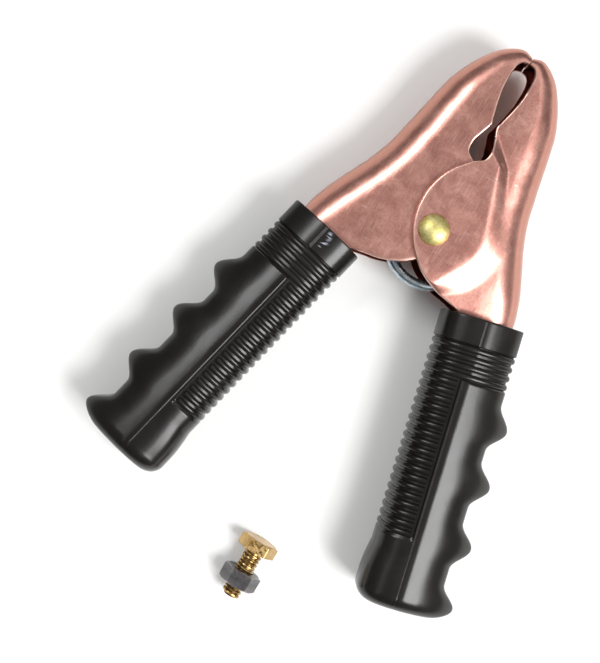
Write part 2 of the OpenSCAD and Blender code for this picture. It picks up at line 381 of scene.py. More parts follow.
def makeRivetBrass():
    look = rivetLook
    finish = Finish("rivetBrass", {"Metallic": 1.0, "Roughness": look["roughness"]})
    cloud = finish.noise(finish.place, 420.0, 4.0, 0.65, 0.6)
    speckle = finish.noise(finish.place, 1500.0, 3.0, 0.7)
    tone = finish.blend(cloud.above(0.36, 0.68), look["brass"], look["pale"])
    tone = finish.blend(speckle.above(0.52, 0.72) * 0.55, tone, look["dark"])
    finish.wear("Base Color", tone)
    finish.wear("Roughness", look["roughness"] - 0.05 + 0.14 * cloud + 0.08 * speckle)
    finish.wear("Normal", finish.bump(cloud * 2.0 + speckle, 0.22, 0.00008))
    return finish.material


boltLook = {"brass": (0.33, 0.195, 0.060), "pale": (0.50, 0.34, 0.15), "dark": (0.06, 0.034, 0.010),
            "roughness": 0.30}


def makeBoltBrass():
    look = boltLook
    finish = Finish("boltBrass", {"Metallic": 1.0, "Roughness": look["roughness"]})
    cloud = finish.noise(finish.place, 260.0, 4.0, 0.6, 0.5)
    pits = finish.noise(finish.place, 1250.0, 4.0, 0.75)
    rough = finish.attribute("rough")
    threadShade = finish.attribute("threadShade")
    tone = finish.blend(cloud.above(0.36, 0.66), look["brass"], look["pale"])
    tone = finish.blend(pits.above(0.46, 0.60) * rough, tone, look["dark"])
    # painted shade: the thread's roots between the ridges are darkened
    tone = finish.blend(threadShade, tone, look["dark"])
    finish.wear("Base Color", tone)
    finish.wear("Roughness", look["roughness"] - 0.04 + 0.12 * cloud + 0.14 * rough * pits)
    finish.wear("Normal", finish.bump(cloud + 3.0 * pits * rough, 0.35, 0.00012))
    return finish.material


nutLook = {"zinc": (0.098, 0.094, 0.096), "pale": (0.36, 0.35, 0.36), "dark": (0.040, 0.037, 0.038),
           "roughness": 0.34}


def makeNutSteel():
    look = nutLook
    finish = Finish("nutSteel", {"Metallic": 0.85, "Roughness": look["roughness"]})
    cloud = finish.noise(finish.place, 330.0, 4.0, 0.6, 0.4)
    pits = finish.noise(finish.place, 1500.0, 3.0, 0.7)
    corner = finish.attribute("corner")
    tone = finish.blend(cloud.above(0.32, 0.70), look["dark"], look["zinc"])
    tone = finish.blend(0.5, tone, look["zinc"])
    tone = finish.blend(pits.above(0.60, 0.75) * 0.5, tone, look["pale"])
    tone = finish.blend(corner * pits.above(0.30, 0.55), tone, look["pale"])
    finish.wear("Base Color", tone)
    finish.wear("Roughness", look["roughness"] - 0.05 + 0.12 * cloud - 0.10 * corner)
    finish.wear("Normal", finish.bump(cloud + 1.5 * pits, 0.25, 0.0001))
    return finish.material


copper = makeCopper()
gripPvc = makeGripPvc()
zinc = makeZinc()
rivetBrass = makeRivetBrass()
boltBrass = makeBoltBrass()
nutSteel = makeNutSteel()
print("materials ready")

# geometry node trees


def treeNode(tree, kind, sockets):
    made = tree.nodes.new(kind)
    for key, value in sockets.items():
        if isinstance(value, bpy.types.NodeSocket):
            tree.links.new(value, made.inputs[key])
        else:
            made.inputs[key].default_value = value
    return made


def newTree(name, inputs):
    # inputs are (name, socket type, value); the sockets come back by name
    tree = bpy.data.node_groups.new(name, "GeometryNodeTree")
    tree.interface.new_socket("Geometry", in_out="OUTPUT", socket_type="NodeSocketGeometry")
    tree.interface.new_socket("Geometry", in_out="INPUT", socket_type="NodeSocketGeometry")
    for label, kind, value in inputs:
        made = tree.interface.new_socket(label, in_out="INPUT", socket_type=kind)
        if value is not None:
            made.default_value = value
    entry = tree.nodes.new("NodeGroupInput")
    return tree, {s.name: s for s in entry.outputs if s.name}


def endTree(tree, geometry, material):
    whole = treeNode(tree, "GeometryNodeRealizeInstances", {"Geometry": geometry})
    painted = treeNode(tree, "GeometryNodeSetMaterial", {"Geometry": whole.outputs[0], "Material": material})
    smooth = treeNode(tree, "GeometryNodeSetShadeSmooth", {"Geometry": painted.outputs[0]})
    tree.links.new(smooth.outputs[0], tree.nodes.new("NodeGroupOutput").inputs[0])
    return tree


def sweepCircle(tree, curve, sides, radius):
    section = treeNode(tree, "GeometryNodeCurvePrimitiveCircle", {"Resolution": sides, "Radius": radius})
    return treeNode(tree, "GeometryNodeCurveToMesh",
                    {"Curve": curve.outputs[0], "Profile Curve": section.outputs[0], "Fill Caps": True})


def makeWireTree():
    # a wire of round section along the piece's own line of points
    tree, given = newTree("wireAlongRoute", [("Wire Radius", "NodeSocketFloat", 0.0015),
                                             ("Sides", "NodeSocketInt", 20),
                                             ("Finish", "NodeSocketMaterial", None)])
    route = treeNode(tree, "GeometryNodeMeshToCurve", {"Mesh": given["Geometry"]})
    wire = sweepCircle(tree, route, given["Sides"], given["Wire Radius"])
    return endTree(tree, wire.outputs[0], given["Finish"])


def makeRibTree():
    # equal ribs of round section, each along the piece's own line, one pitch apart
    tree, given = newTree("ribsAlongHandle", [("Count", "NodeSocketInt", 10),
                                              ("Pitch", "NodeSocketVector", (0, 0, 0)),
                                              ("Rib Radius", "NodeSocketFloat", 0.001),
                                              ("Sides", "NodeSocketInt", 12),
                                              ("Finish", "NodeSocketMaterial", None)])
    route = treeNode(tree, "GeometryNodeMeshToCurve", {"Mesh": given["Geometry"]})
    rib = sweepCircle(tree, route, given["Sides"], given["Rib Radius"])
    places = treeNode(tree, "GeometryNodeMeshLine", {"Count": given["Count"], "Offset": given["Pitch"]})
    ribs = treeNode(tree, "GeometryNodeInstanceOnPoints", {"Points": places.outputs[0], "Instance": rib.outputs[0]})
    return endTree(tree, ribs.outputs[0], given["Finish"])


def makeThreadTree():
    # a helical ridge of eight-sided round section
    tree, given = newTree("screwThread", [("Turns", "NodeSocketFloat", 10.0), ("Length", "NodeSocketFloat", 0.015),
                                          ("Ridge Radius", "NodeSocketFloat", 0.0028),
                                          ("Ridge Size", "NodeSocketFloat", 0.0006),
                                          ("Finish", "NodeSocketMaterial", None)])
    helix = treeNode(tree, "GeometryNodeCurveSpiral",
                     {"Resolution": 32, "Rotations": given["Turns"], "Start Radius": given["Ridge Radius"],
                      "End Radius": given["Ridge Radius"], "Height": given["Length"]})
    ridge = sweepCircle(tree, helix, 8, given["Ridge Size"])
    return endTree(tree, ridge.outputs[0], given["Finish"])


wireTree = makeWireTree()
ribTree = makeRibTree()
threadTree = makeThreadTree()


def linePiece(name, points, closed=False):
    mesh = bpy.data.meshes.new(name)
    edges = [(i, i + 1) for i in range(len(points) - 1)] + ([(len(points) - 1, 0)] if closed else [])
    mesh.from_pydata([tuple(c * mm for c in p) for p in points], edges, [])
    return addObject(name, mesh)


def growWith(piece, tree, values):
    change = piece.modifiers.new("grow", "NODES")
    change.node_group = tree
    for item in tree.interface.items_tree:
        if item.in_out == "INPUT" and item.name in values:
            change[item.identifier] = values[item.name]
    bakeModifiers(piece)
    piece.data.materials.clear()
    piece.data.materials.append(values["Finish"])
    piece.data.polygons.foreach_set("material_index", [0] * len(piece.data.polygons))
    return piece


print("node trees ready")

# pressed jaws

jaw = {"sheet": 1.5, "noseGap": 0.3, "earRadius": 23.0, "earClear": 0.3, "teeth": 5,
       "toothDepth": 0.8, "toothPitch": 2.3, "boreRadius": 3.15, "rowParts": 8, "wallSteps": 26, "bendSteps": 12,
       "rollOver": 0.45, "camberRun": 6.0, "camber": 0.22, "toothHalf": 1.1, "toothFrom": 57.0, "toothTo": 64.0,
       "holeRadius": 3.4, "holeDepth": 6.0, "holeAt": (-21, -6, -10)}
# where the right half's walls stand out: a rounded patch round the pivot, ended by a crease above it
lap = {"outer": 17.3, "flat": 14.8, "slopeRun": 3, "from": (5, 0), "middle": (0, 3), "top": (-8, 26),
       "bottom": (-12, -23.5), "creaseRun": 2.5, "creaseTop": (0.7, 37.2), "creaseBase": (3.7, 28.8), "sharp": 0.6}
handle = {"root": (28.05, -15.7), "lean": 13.5, "inner": -9.2, "outer": 10.1, "halfHeight": 8.8, "corner": 8.0,
          "length": 80.0}
handleAlong = (sinDeg(handle["lean"]), -cosDeg(handle["lean"]))
handleOut = (cosDeg(handle["lean"]), sinDeg(handle["lean"]))


def handlePoint(s, t):
    return (handle["root"][0] + s * handleAlong[0] + t * handleOut[0],
            handle["root"][1] + s * handleAlong[1] + t * handleOut[1])


# spine x and y, edge x and y, half of the height, radius of the bend
noseRows = [[0.15, 61.6, 0.15, 59.2, 8.2, 2.2], [3.4, 62.8, 1.9, 58.7, 8.3, 3.9], [7.2, 61.5, 3, 57.2, 8.5, 5.2],
            [10.8, 58.7, 3.5, 54.7, 8.8, 6.2], [13.9, 54.7, 3.5, 51.4, 9.1, 7.2], [16.6, 50, 3.3, 48, 9.4, 7.8],
            [18.8, 45, 2.5, 43.8, 9.7, 8.4], [20.1, 40, 1.4, 39.2, 9.9, 8.8], [20.9, 36.5, 0.9, 37, 10, 9],
            [21.6, 33.2, 2.1, 33.4, 10, 9.2], [22.3, 30, 3.15, 29.8, 10, 9.4], [22.9, 27.2, 2.5, 26.3, 10, 9.5]]
earSpine = [(23.6, 24.4), (24.7, 19.5), (26.3, 14.5), (28.4, 9.5), (30.9, 4.5), (33.4, -0.5)]
earRows = [[x, y, 15 + jaw["earRadius"] * cosDeg(133 + 20 * i), 7 + jaw["earRadius"] * sinDeg(133 + 20 * i),
            10, 9.5] for i, (x, y) in enumerate(earSpine)]
rootRows = [[35, -4, 5.3, -14, 9.8, 9.3], [36.2, -7.2, 10.3, -15.8, 9.5, 9], [37.2, -10.2, 14.8, -16.6, 9.2, 8.7]]
handleRows = [[*handlePoint(s, handle["outer"]), *handlePoint(s, handle["inner"]), handle["halfHeight"],
               handle["corner"]] for s in (0, 3, 30, handle["length"])]
jawRows = noseRows + earRows + rootRows + handleRows
earStep = jaw["sheet"] + jaw["earClear"]


def segmentDistance(p, a, b):
    run = (b[0] - a[0], b[1] - a[1])
    u = clampUnit(((p[0] - a[0]) * run[0] + (p[1] - a[1]) * run[1]) / (run[0] ** 2 + run[1] ** 2))
    return math.hypot(p[0] - a[0] - u * run[0], p[1] - a[1] - u * run[1])


def partRounded(u):
    return lap["sharp"] * u + (1 - lap["sharp"]) * smoothUnit(u)


def stepAt(p):
    # how far the right half's walls stand out, to lap over the left ears
    inside = lap["outer"] - segmentDistance(p, lap["from"], lap["top"])
    offFlat = max(0.0, min(segmentDistance(p, lap["middle"], lap[end]) for end in ("top", "bottom")) - lap["flat"])
    upSlope = clampUnit(inside / max(inside + offFlat, lap["slopeRun"])) if inside > 0 else 0.0
    belowTop = (p[0] - lap["creaseTop"][0]) * -0.707 + (p[1] - lap["creaseTop"][1]) * -0.707
    aboveBase = max(0.0, (lap["creaseBase"][0] - p[0]) * -0.476 + (lap["creaseBase"][1] - p[1]) * -0.879)
    downCrease = clampUnit(belowTop / max(belowTop + aboveBase, lap["creaseRun"])) if belowTop > 0 else 0.0
    return earStep * min(partRounded(upSlope), partRounded(downCrease))


def camberDrop(d, run):
    # the walls sag a little before the bend starts
    return jaw["camber"] * (max(0.0, d - run + jaw["camberRun"]) / jaw["camberRun"]) ** 2


def halfSection(width, height, bend):
    # outside, edge to spine: distance from the edge, height, share of the step, painted inner shade (none here), rim,
    # bend share that sets the painted shade at the sides
    run = width - bend
    roll = min(jaw["rollOver"], 0.4 * run)
    row = [(roll * (1 - cosDeg(a)), height - roll * (1 - sinDeg(a)), 1, 0.0, 1.0, 0.0) for a in (0, 30, 60)]
    for i in range(jaw["wallSteps"] + 1):
        d = roll + (run - roll) * i / jaw["wallSteps"]
        row.append((d, height - camberDrop(d, run), 1, 0.0, clampUnit(1.0 - (d - roll) / 0.35), 0.0))
    for i in range(1, jaw["bendSteps"] + 1):
        a = 90 - 90 * i / jaw["bendSteps"]
        drop = camberDrop(run + bend * cosDeg(a), run) * sinDeg(a)
        row.append((run + bend * cosDeg(a), height - bend + bend * sinDeg(a) - drop, sinDeg(a),
                    0.0, 0.0, 1 - a / 90))
    return row


# inside, edge to spine: distance from the edge, height, share of the step, painted inner shade, rim
def innerSection(width, height, bend):
    thick = jaw["sheet"]
    run = width - bend
    row = [(0.0, height - jaw["rollOver"] - 0.3, 1, 0.0, 1.0), (0.0, height - thick + 0.12, 1, 0.3, 0.6),
           (0.12, height - thick, 1, 1.0, 0.0)]
    for i in range(1, jaw["wallSteps"] + 1):
        d = 0.12 + (run - 0.12) * i / jaw["wallSteps"]
        row.append((d, height - thick - camberDrop(d, run), 1, 1.0, 0.0))
    for i in range(1, jaw["bendSteps"] + 1):
        a = 90 - 90 * i / jaw["bendSteps"]
        drop = camberDrop(run + bend * cosDeg(a), run) * sinDeg(a)
        row.append((run + (bend - thick) * cosDeg(a), height - bend + (bend - thick) * sinDeg(a) - drop,
                    sinDeg(a), 1.0, 0.0))
    return row


def jawRing(row, stepped):
    # a closed loop: outside from the upper edge to the lower edge, then back along the inside
    spine, edge = row[0:2], row[2:4]
    width = math.hypot(spine[0] - edge[0], spine[1] - edge[1])
    ux, uy = (spine[0] - edge[0]) / width, (spine[1] - edge[1]) / width
    outside, inside = halfSection(width, row[4], row[5]), innerSection(width, row[4], row[5])
    ring = []

    def add(entry, up):
        x, y = edge[0] + ux * entry[0], edge[1] + uy * entry[0]
        z = entry[1] + (stepAt((x, y)) * entry[2] if stepped else 0)
        ring.append(((x, y, z if up else -z), entry[3], entry[4], entry[5] if len(entry) > 5 else 0.0))

    for entry in outside:
        add(entry, True)
    for entry in reversed(outside[:-1]):
        add(entry, False)
    for entry in inside:
        add(entry, False)
    for entry in reversed(inside[:-1]):
        add(entry, True)
    return ring


def makeJaw(name, side, stepped):
    rings = [jawRing(row, stepped) for row in refineRows(jawRows, jaw["rowParts"])]
    points, faces = loftRings([[(side * e[0][0], e[0][1], e[0][2]) for e in ring] for ring in rings])
    values = {"innerShade": [e[1] for ring in rings for e in ring], "rim": [e[2] for ring in rings for e in ring],
              "bend": [e[3] for ring in rings for e in ring]}
    piece = newPiece(name, points, faces, True, values)
    faceOutwards(piece)
    piece.data.materials.append(copper)
    cutters = [cylinderPiece("boreCutter", jaw["boreRadius"], 30.0, 48), toothCutter(side)]
    if side < 0:
        cutters.append(cylinderPiece("terminalCutter", jaw["holeRadius"], jaw["holeDepth"], 40, jaw["holeAt"]))
    cutWith(piece, cutters)
    return sharpenEdges(piece, 38)


def cylinderPiece(name, radius, height, sides, at=(0, 0, 0)):
    rings = [[(at[0] + x, at[1] + y, at[2] + z) for x, y in roundRing(radius, sides)]
             for z in (-height / 2, height / 2)]
    points, faces = loftRings(rings)
    piece = pointOutwards(newPiece(name, points, faces, False))
    piece.data.materials.append(copper)
    return piece


def makeToothTree():
    # equal V notches, one pitch apart
    tree, given = newTree("toothRow", [("Count", "NodeSocketInt", 5),
                                       ("Pitch", "NodeSocketVector", (0, 0, 0.0023)),
                                       ("Finish", "NodeSocketMaterial", None)])
    places = treeNode(tree, "GeometryNodeMeshLine", {"Count": given["Count"], "Offset": given["Pitch"]})
    row = treeNode(tree, "GeometryNodeInstanceOnPoints", {"Points": places.outputs[0], "Instance": given["Geometry"]})
    return endTree(tree, row.outputs[0], given["Finish"])


toothTree = makeToothTree()


def toothCutter(side):
    tip = side * (jaw["noseGap"] / 2 + jaw["toothDepth"])
    start = -(jaw["teeth"] - 1) / 2 * jaw["toothPitch"]
    half = jaw["toothHalf"]
    rings = [[(-side, y, start - half), (tip, y, start), (-side, y, start + half)]
             for y in (jaw["toothFrom"], jaw["toothTo"])]
    points, faces = loftRings(rings)
    piece = pointOutwards(newPiece("toothCutter", points, faces, False))
    return growWith(piece, toothTree, {"Count": jaw["teeth"], "Pitch": (0, 0, jaw["toothPitch"] * mm),
                                       "Finish": copper})


leftJaw = makeJaw("leftJawHalf", -1, False)
rightJaw = makeJaw("rightJawHalf", 1, True)
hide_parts("left_jaw")
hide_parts("right_jaw")
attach(leftJaw, "left_half")
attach(rightJaw, "right_half")
print("jaws ready", len(leftJaw.data.polygons), len(rightJaw.data.polygons))

# rivet

rivet = {"shank": 3.1, "head": 4.85, "dome": 2.1, "edge": 0.3, "seat": 12.0, "tail": 4.4, "tailHeight": 1.3,
         "dish": 2.2, "dishDepth": 0.6, "sides": 96}


def revolve(name, profile, sides, material):
    # profile of (radius, z) from the axis at the top to the axis at the bottom
    rings = [[(x, y, z) for x, y in roundRing(r, sides)] for r, z in profile]
    points, faces = loftRings(rings)
    piece = pointOutwards(newPiece(name, points, faces, True))
    piece.data.materials.append(material)
    return sharpenEdges(piece, 40)


def makeRivet():
    sphere = (rivet["head"] ** 2 + rivet["dome"] ** 2) / (2 * rivet["dome"])
    reach = math.degrees(math.asin(rivet["head"] / sphere))
    top = rivet["seat"] + rivet["edge"]
    profile = [(max(0.02, sphere * sinDeg(reach * i / 20)),
                top + rivet["dome"] - sphere + sphere * cosDeg(reach * i / 20)) for i in range(21)]
    profile[-1] = (rivet["head"] - 0.06, top + 0.03)
    head, shank, tail, seat, dish = (rivet[key] for key in ("head", "shank", "tail", "seat", "dish"))
    profile += [(head, top - 0.08), (head, seat + 0.05), (head - 0.1, seat), (shank, seat), (shank, -seat),
                (tail - 0.15, -seat), (tail, -seat - 0.2)]
    bottom = -seat - rivet["tailHeight"]
    profile += [(tail, bottom + 0.5), (tail - 0.12, bottom + 0.2), (tail - 0.4, bottom), (dish + 0.15, bottom),
                (dish, bottom + 0.12), (dish - 0.3, bottom + rivet["dishDepth"]),
                (0.02, bottom + rivet["dishDepth"])]
    return revolve("rivetBody", profile, rivet["sides"], rivetBrass)


rivetBody = makeRivet()
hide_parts("pivot_rivet")
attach(rivetBody, "pivot")
print("rivet ready")

# torsion spring

spring = {"wire": 3.0, "coil": 28.4, "drop": 3.7, "shift": 2.4, "turns": 3, "pitch": 3.1, "lean": 41.0,
          "legBend": (7.3, 3.2), "legEnd": (50.0, 3.8), "legRadius": 4.0, "sides": 24, "step": 6}
springSweep = 360 * spring["turns"] + 180 - 2 * spring["lean"]
springRise = spring["pitch"] * springSweep / 360
springRadius = (spring["coil"] - spring["wire"]) / 2


def coilPoint(a):
    return (spring["shift"] + springRadius * cosDeg(a), -spring["drop"] + springRadius * sinDeg(a),
            springRise * ((a - spring["lean"]) / springSweep - 0.5))


def roundedRoute(points, radius, parts=8):
    # every corner of a line of points is replaced by a smooth curve
    route = [points[0]]
    for a, b, c in zip(points, points[1:], points[2:]):
        p, q, r = Vector(a), Vector(b), Vector(c)
        reach = min(radius, (p - q).length / 2, (r - q).length / 2)
        first, last = q + (p - q).normalized() * reach, q + (r - q).normalized() * reach
        for i in range(parts + 1):
            u = i / parts
            route.append(tuple((1 - u) ** 2 * first + 2 * u * (1 - u) * q + u * u * last))
    route.append(points[-1])
    return route


def makeSpringHalf(name, side):
    # side 1 is the right leg and the lower half of the coil, side -1 the left leg and the upper half
    z = side * -springRise / 2
    bend, end = handlePoint(*spring["legBend"]), handlePoint(*spring["legEnd"])
    count = int(springSweep / 2 / spring["step"])
    first = spring["lean"] + (0 if side > 0 else springSweep)
    coil = [coilPoint(first + side * i * springSweep / 2 / count) for i in range(count + 1)]
    corner = roundedRoute([(side * end[0], end[1], z), (side * bend[0], bend[1], z), coil[1], coil[3]],
                          spring["legRadius"])
    piece = linePiece(name, corner + coil[4:])
    growWith(piece, wireTree, {"Wire Radius": spring["wire"] / 2 * mm, "Sides": spring["sides"], "Finish": zinc})
    return pointOutwards(piece)


rightSpring = makeSpringHalf("springRightHalf", 1)
leftSpring = makeSpringHalf("springLeftHalf", -1)
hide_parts("torsion_spring")
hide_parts("torsion_spring")
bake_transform(rightSpring)
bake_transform(leftSpring)
print("spring ready")

# grips

grip = {"length": 94.0, "depth": 25.4, "width": 26.0, "collar": 13.3, "lobe": 17.9, "valley": 12.5,
        "crests": (31.8, 50.4, 70.3, 90.4), "lead": 8.0, "trail": 6.8, "power": 3.0, "endRound": 5.0,
        "heelStart": 76.0, "heelRun": 10.0, "heelFlare": 1.2, "plain": 8.3, "ribPitch": 2.85, "ribs": 22,
        "rings": 4, "ribRadius": 1.15, "recess": 0.75, "partingAt": -1.4, "ledge": 0.09, "socketClear": 0.4,
        "sides": 144,
        "crownReach": 19.0, "crownPower": 1.42, "edgePower": 0.2, "seam": 0.13, "seamHalf": 0.16,
        "collarSeamAt": 0.4, "collarSeamHalf": 0.22, "collarSeam": 0.208, "ribSink": 0.02, "ribSides": 16,
        "scuffFrom": (-27.2, -21.8, 12.4), "scuffTo": (-26.4, -17.4, 12.4), "scuffRadius": 1.3}


def lobeRise(s, crest):
    d = s - crest
    run = grip["lead"] if d < 0 else grip["trail"]
    return (1 + cosDeg(180 * min(abs(d), run) / run)) / 2


def gripReach(s):
    level = grip["collar"] if s < grip["crests"][0] else grip["valley"]
    return level + (grip["lobe"] - level) * max(lobeRise(s, crest) for crest in grip["crests"])


def endInset(s):
    u = clampUnit((s - grip["length"] + grip["endRound"]) / grip["endRound"])
    return grip["endRound"] * (1 - math.sqrt(1 - u * u))


def superEllipse(a):
    c, d = cosDeg(a), sinDeg(a)
    return (math.copysign(abs(c) ** (2 / grip["power"]), c), math.copysign(abs(d) ** (2 / grip["power"]), d))


firstRib = grip["plain"] + 1.5
lastRing = firstRib + (grip["rings"] - 1) * grip["ribPitch"]
lastRib = firstRib + (grip["ribs"] - 1) * grip["ribPitch"]


def gripSink(s, t):
    # how far the skin lies below its outline: under the rings all round, and under the ribs on the inner half
    ringZone = smoothUnit((s - grip["plain"]) / 0.35) * smoothUnit((lastRing + 1.55 - s) / 0.5)
    ribZone = smoothUnit((s - grip["plain"]) / 0.35) * smoothUnit((lastRib + 1.7 - s) / 0.6)
    innerHalf = smoothUnit((grip["partingAt"] - 0.75 - t) / 0.25)
    parting = smoothUnit((grip["partingAt"] - t) / 0.18) * smoothUnit((s - lastRing - 1.0) / 0.5)
    parting *= smoothUnit((grip["length"] - 3.0 - s) / 3.0)
    seam = math.exp(-((t - grip["partingAt"]) / grip["seamHalf"]) ** 2) * smoothUnit((s - lastRing - 1.0) / 0.5)
    collarSeam = math.exp(-((t - grip["collarSeamAt"]) / grip["collarSeamHalf"]) ** 2)
    collarSeam *= smoothUnit((lastRing + 1.0 - s) / 0.5)
    return max(grip["recess"] * ringZone, grip["recess"] * ribZone * innerHalf,
               grip["ledge"] * parting + grip["seam"] * seam, grip["collarSeam"] * collarSeam)


def gripOutline(s, angle):
    # the inner half is a superellipse; the outer half is one crown along the grip, ended by the finger lobes
    inset = endInset(s)
    half = grip["depth"] / 2 - inset
    c, d = cosDeg(angle), sinDeg(angle)
    if c > 0:
        t = (gripReach(s) - inset) * c ** (2 / grip["power"])
        crown = (1 - (t / grip["crownReach"]) ** grip["crownPower"]) ** (1 / grip["crownPower"])
        return t, math.copysign(half * crown * abs(d) ** grip["edgePower"], d)
    e = superEllipse(angle)
    flare = grip["heelFlare"] * sinDeg(90 * clampUnit((s - grip["heelStart"]) / grip["heelRun"]))
    return e[0] * (grip["width"] / 2 + flare - inset), e[1] * half


def gripSkinPoint(s, angle, extra=0.0):
    t, z = gripOutline(s, angle)
    before, after = gripOutline(s, angle - 0.5), gripOutline(s, angle + 0.5)
    nx, nz = after[1] - before[1], before[0] - after[0]
    size = math.hypot(nx, nz) or 1.0
    sink = gripSink(s, t) + extra
    return t - sink * nx / size, z - sink * nz / size


def gripAngles():
    # closer together near the parting line
    fine = [0.2 * i - 2.4 for i in range(17)]
    top = [90 - math.degrees(math.asin(math.copysign((2 * abs(t) / grip["width"]) ** 1.5, t))) for t in fine]
    even = [360 * i / grip["sides"] for i in range(grip["sides"])]
    clear = [a for a in even if min(abs(a - 90), abs(a - 270)) > 5]
    return sorted(clear + top + [360 - a for a in top])


def gripStations():
    stations = []
    s = 0.0
    while s < grip["length"] - grip["endRound"]:
        stations.append(s)
        s += 0.36 if s < lastRing + 3 else 0.7
    stations += [grip["length"] - grip["endRound"] + grip["endRound"] * sinDeg(a) for a in range(0, 88, 6)]
    stations.append(grip["length"] - grip["endRound"] + grip["endRound"] * sinDeg(88.5))
    return stations


def socketRadius(angle):
    # distance from the handle's middle to the socket's wall in a direction
    clear = grip["socketClear"]
    outer, inner = handle["outer"] + clear, handle["inner"] - clear
    wall, bend = handle["halfHeight"] + clear, handle["corner"] + clear
    dx, dz = cosDeg(angle), abs(sinDeg(angle))
    best = 99.0
    if dx < 0:
        best = min(best, inner / dx)
    if dz > 1e-6:
        best = min(best, wall / dz)
    if dx > 0:
        best = min(best, outer / dx)
        x, z = best * dx, best * dz
        cx, cz = outer - bend, wall - bend
        if x > cx and z > cz:
            along = dx * cx + dz * cz
            best = along + math.sqrt(max(0.0, along * along - cx * cx - cz * cz + bend * bend))
    return best


def gripPlace(side, s, t, z):
    x, y = handlePoint(s, t)
    return side * x, y, z


def gripRing(s, side, skin):
    return [gripPlace(side, s, *skin(s, a)) for a in gripAngles()]


def socketSkin(s, a):
    t, z = gripSkinPoint(0.5, a)
    direction = math.degrees(math.atan2(z, t))
    r = socketRadius(direction)
    return r * cosDeg(direction), r * sinDeg(direction)


def makeGrip(name, side):
    rings = []
    # socket from its floor out to the mouth, then the rounded rim, then the skin to the rear end
    for s in (86.0, 60.0, 30.0, 10.0, 1.0, 0.35):
        rings.append(gripRing(s, side, socketSkin))
    for share, s in ((0.12, 0.05), (0.45, 0.0), (0.80, 0.0), (0.93, 0.02), (0.985, 0.16)):
        ring = []
        for a in gripAngles():
            inner, outer = socketSkin(0, a), gripSkinPoint(0.4, a)
            ring.append(gripPlace(side, s, *(p + (q - p) * share for p, q in zip(inner, outer))))
        rings.append(ring)
    for s in gripStations()[1:]:
        rings.append(gripRing(s, side, gripSkinPoint))
    points, faces = loftRings(rings)
    body = pointOutwards(newPiece(name + "Skin", points, faces, True))
    body.data.materials.append(gripPvc)
    # ribs on the inner half, and rings all round behind the collar
    sink = grip["ribRadius"] - grip["ribSink"]
    ringPath = [gripPlace(side, firstRib, *gripSkinPoint(5.0, 360 * i / 96, sink)) for i in range(96)]
    ribPath = [gripSkinPoint(5.0, 97.5 + 165 * i / 59, sink) for i in range(60)]
    ribPath = [gripPlace(side, firstRib, t, z) for t, z in ribPath if t <= grip["partingAt"] - 1.0]
    stepX, stepY = side * handleAlong[0] * grip["ribPitch"], handleAlong[1] * grip["ribPitch"]
    ribPath = [(x + stepX * grip["rings"], y + stepY * grip["rings"], z) for x, y, z in ribPath]
    values = {"Pitch": (stepX * mm, stepY * mm, 0), "Rib Radius": grip["ribRadius"] * mm,
              "Sides": grip["ribSides"], "Finish": gripPvc}
    rings = growWith(linePiece(name + "Rings", ringPath, True), ribTree, {"Count": grip["rings"], **values})
    ribs = growWith(linePiece(name + "Ribs", ribPath), ribTree, {"Count": grip["ribs"] - grip["rings"], **values})
    for part in (rings, ribs):
        pointOutwards(part)
    # moulding nub at the rear end
    nub = [[gripPlace(side, grip["length"] + back - 0.35, -1 + t, z) for t, z in roundRing(r, 20)]
           for r, back in ((1.9, -1.5), (1.9, 0.18), (1.5, 0.32), (0.9, 0.36), (0.05, 0.38))]
    points, faces = loftRings(nub)
    gate = pointOutwards(newPiece(name + "Nub", points, faces, True))
    gate.data.materials.append(gripPvc)
    piece = joinPieces(name, [body, rings, ribs, gate])
    shadeSmooth(piece.data)
    sharpenEdges(piece, 60)
    scuff = []
    for vertex in piece.data.vertices:
        near = 0.0
        if side < 0:
            a, b = Vector(grip["scuffFrom"]) * mm, Vector(grip["scuffTo"]) * mm
            axis = b - a
            u = clampUnit((vertex.co - a).dot(axis) / axis.length_squared)
            near = clampUnit(1 - (vertex.co - a - axis * u).length / (grip["scuffRadius"] * mm))
        scuff.append(near)
    setValues(piece.data, "scuff", scuff)
    return piece


leftGrip = makeGrip("leftHandGrip", -1)
rightGrip = makeGrip("rightHandGrip", 1)
for piece, node in ((leftGrip, "left_grip"), (rightGrip, "right_grip")):
    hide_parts(node)
    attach(piece, node)
print("grips ready", len(leftGrip.data.polygons))

# loose screw and nut

screw = {"across": 11.11, "head": 4.0, "thread": 6.2, "length": 16.5, "at": (3.85, -111.6, -7.745), "pitch": 1.27,
         "nut": 5.56, "nutRun": 7.0, "clear": 0.05, "chamfer": 0.25, "slope": 0.52, "soft": 0.18,
         "edge": 0.15, "mouth": 0.35, "coreDepth": 0.72, "ridge": 0.5, "sides": 180}


def hexRadius(a):
    return screw["across"] / 2 / cosDeg(a % 60 - 30)


